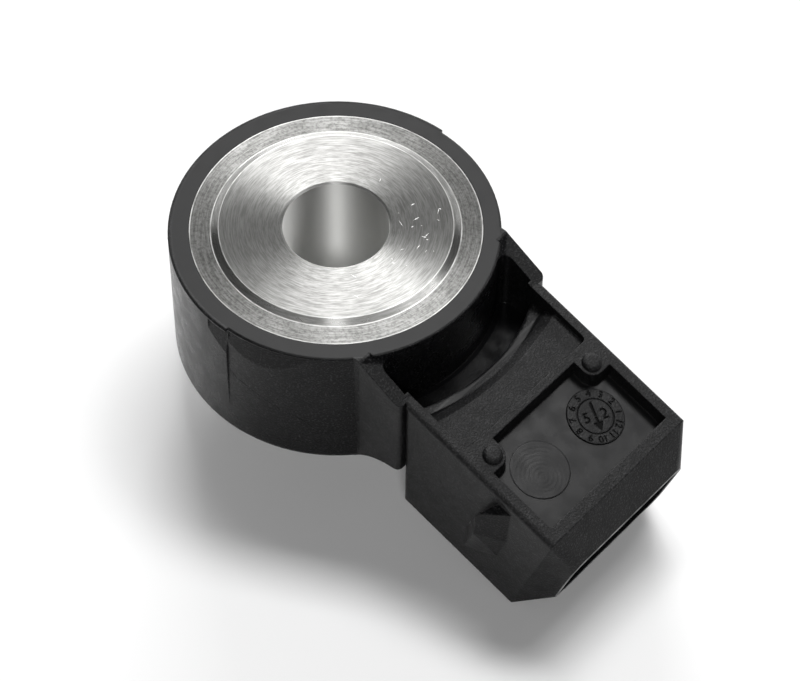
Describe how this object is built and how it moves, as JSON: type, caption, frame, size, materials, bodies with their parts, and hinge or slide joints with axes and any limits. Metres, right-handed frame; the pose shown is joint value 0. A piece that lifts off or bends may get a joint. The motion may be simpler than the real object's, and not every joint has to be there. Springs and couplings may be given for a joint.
{
  "type": "engine knock sensor",
  "caption": "Ring-shaped piezoelectric knock sensor with a steel sleeve for one fixing bolt and an inclined moulded plug connector.",
  "frame": {"origin": "centre of the bolt's bore, in the plane of the contact face that lies on the engine", "axes": "+Z along the bolt's axis, out of the contact face towards the engine; +X from the ring to the connector"},
  "size_m": [0.0437, 0.0264, 0.0186],
  "materials": {
    "black_polyamide": "fine spark-eroded grain",
    "turned_steel": "turned",
    "insulating_film": "smooth film",
    "contact_brass": "rolled",
    "piezo_ceramic": "lapped, silvered faces",
    "mass_steel": "turned",
    "spring_steel": "hardened, oiled",
    "tinned_bronze": "tin plated",
    "resistor_body": "lacquered"
  },
  "bodies": {
    "root": {"housing": "black_polyamide", "support_sleeve": "turned_steel", "insulating_sleeve": "insulating_film", "lower_insulator": "insulating_film", "upper_insulator": "insulating_film", "lower_contact_disc": "contact_brass", "upper_contact_disc": "contact_brass", "piezo_ring": "piezo_ceramic", "seismic_mass": "mass_steel", "disc_spring": "spring_steel", "lock_ring": "mass_steel", "terminal_blade_left": "tinned_bronze", "terminal_blade_right": "tinned_bronze", "shunt_resistor": "resistor_body"}
  },
  "joints": []
}
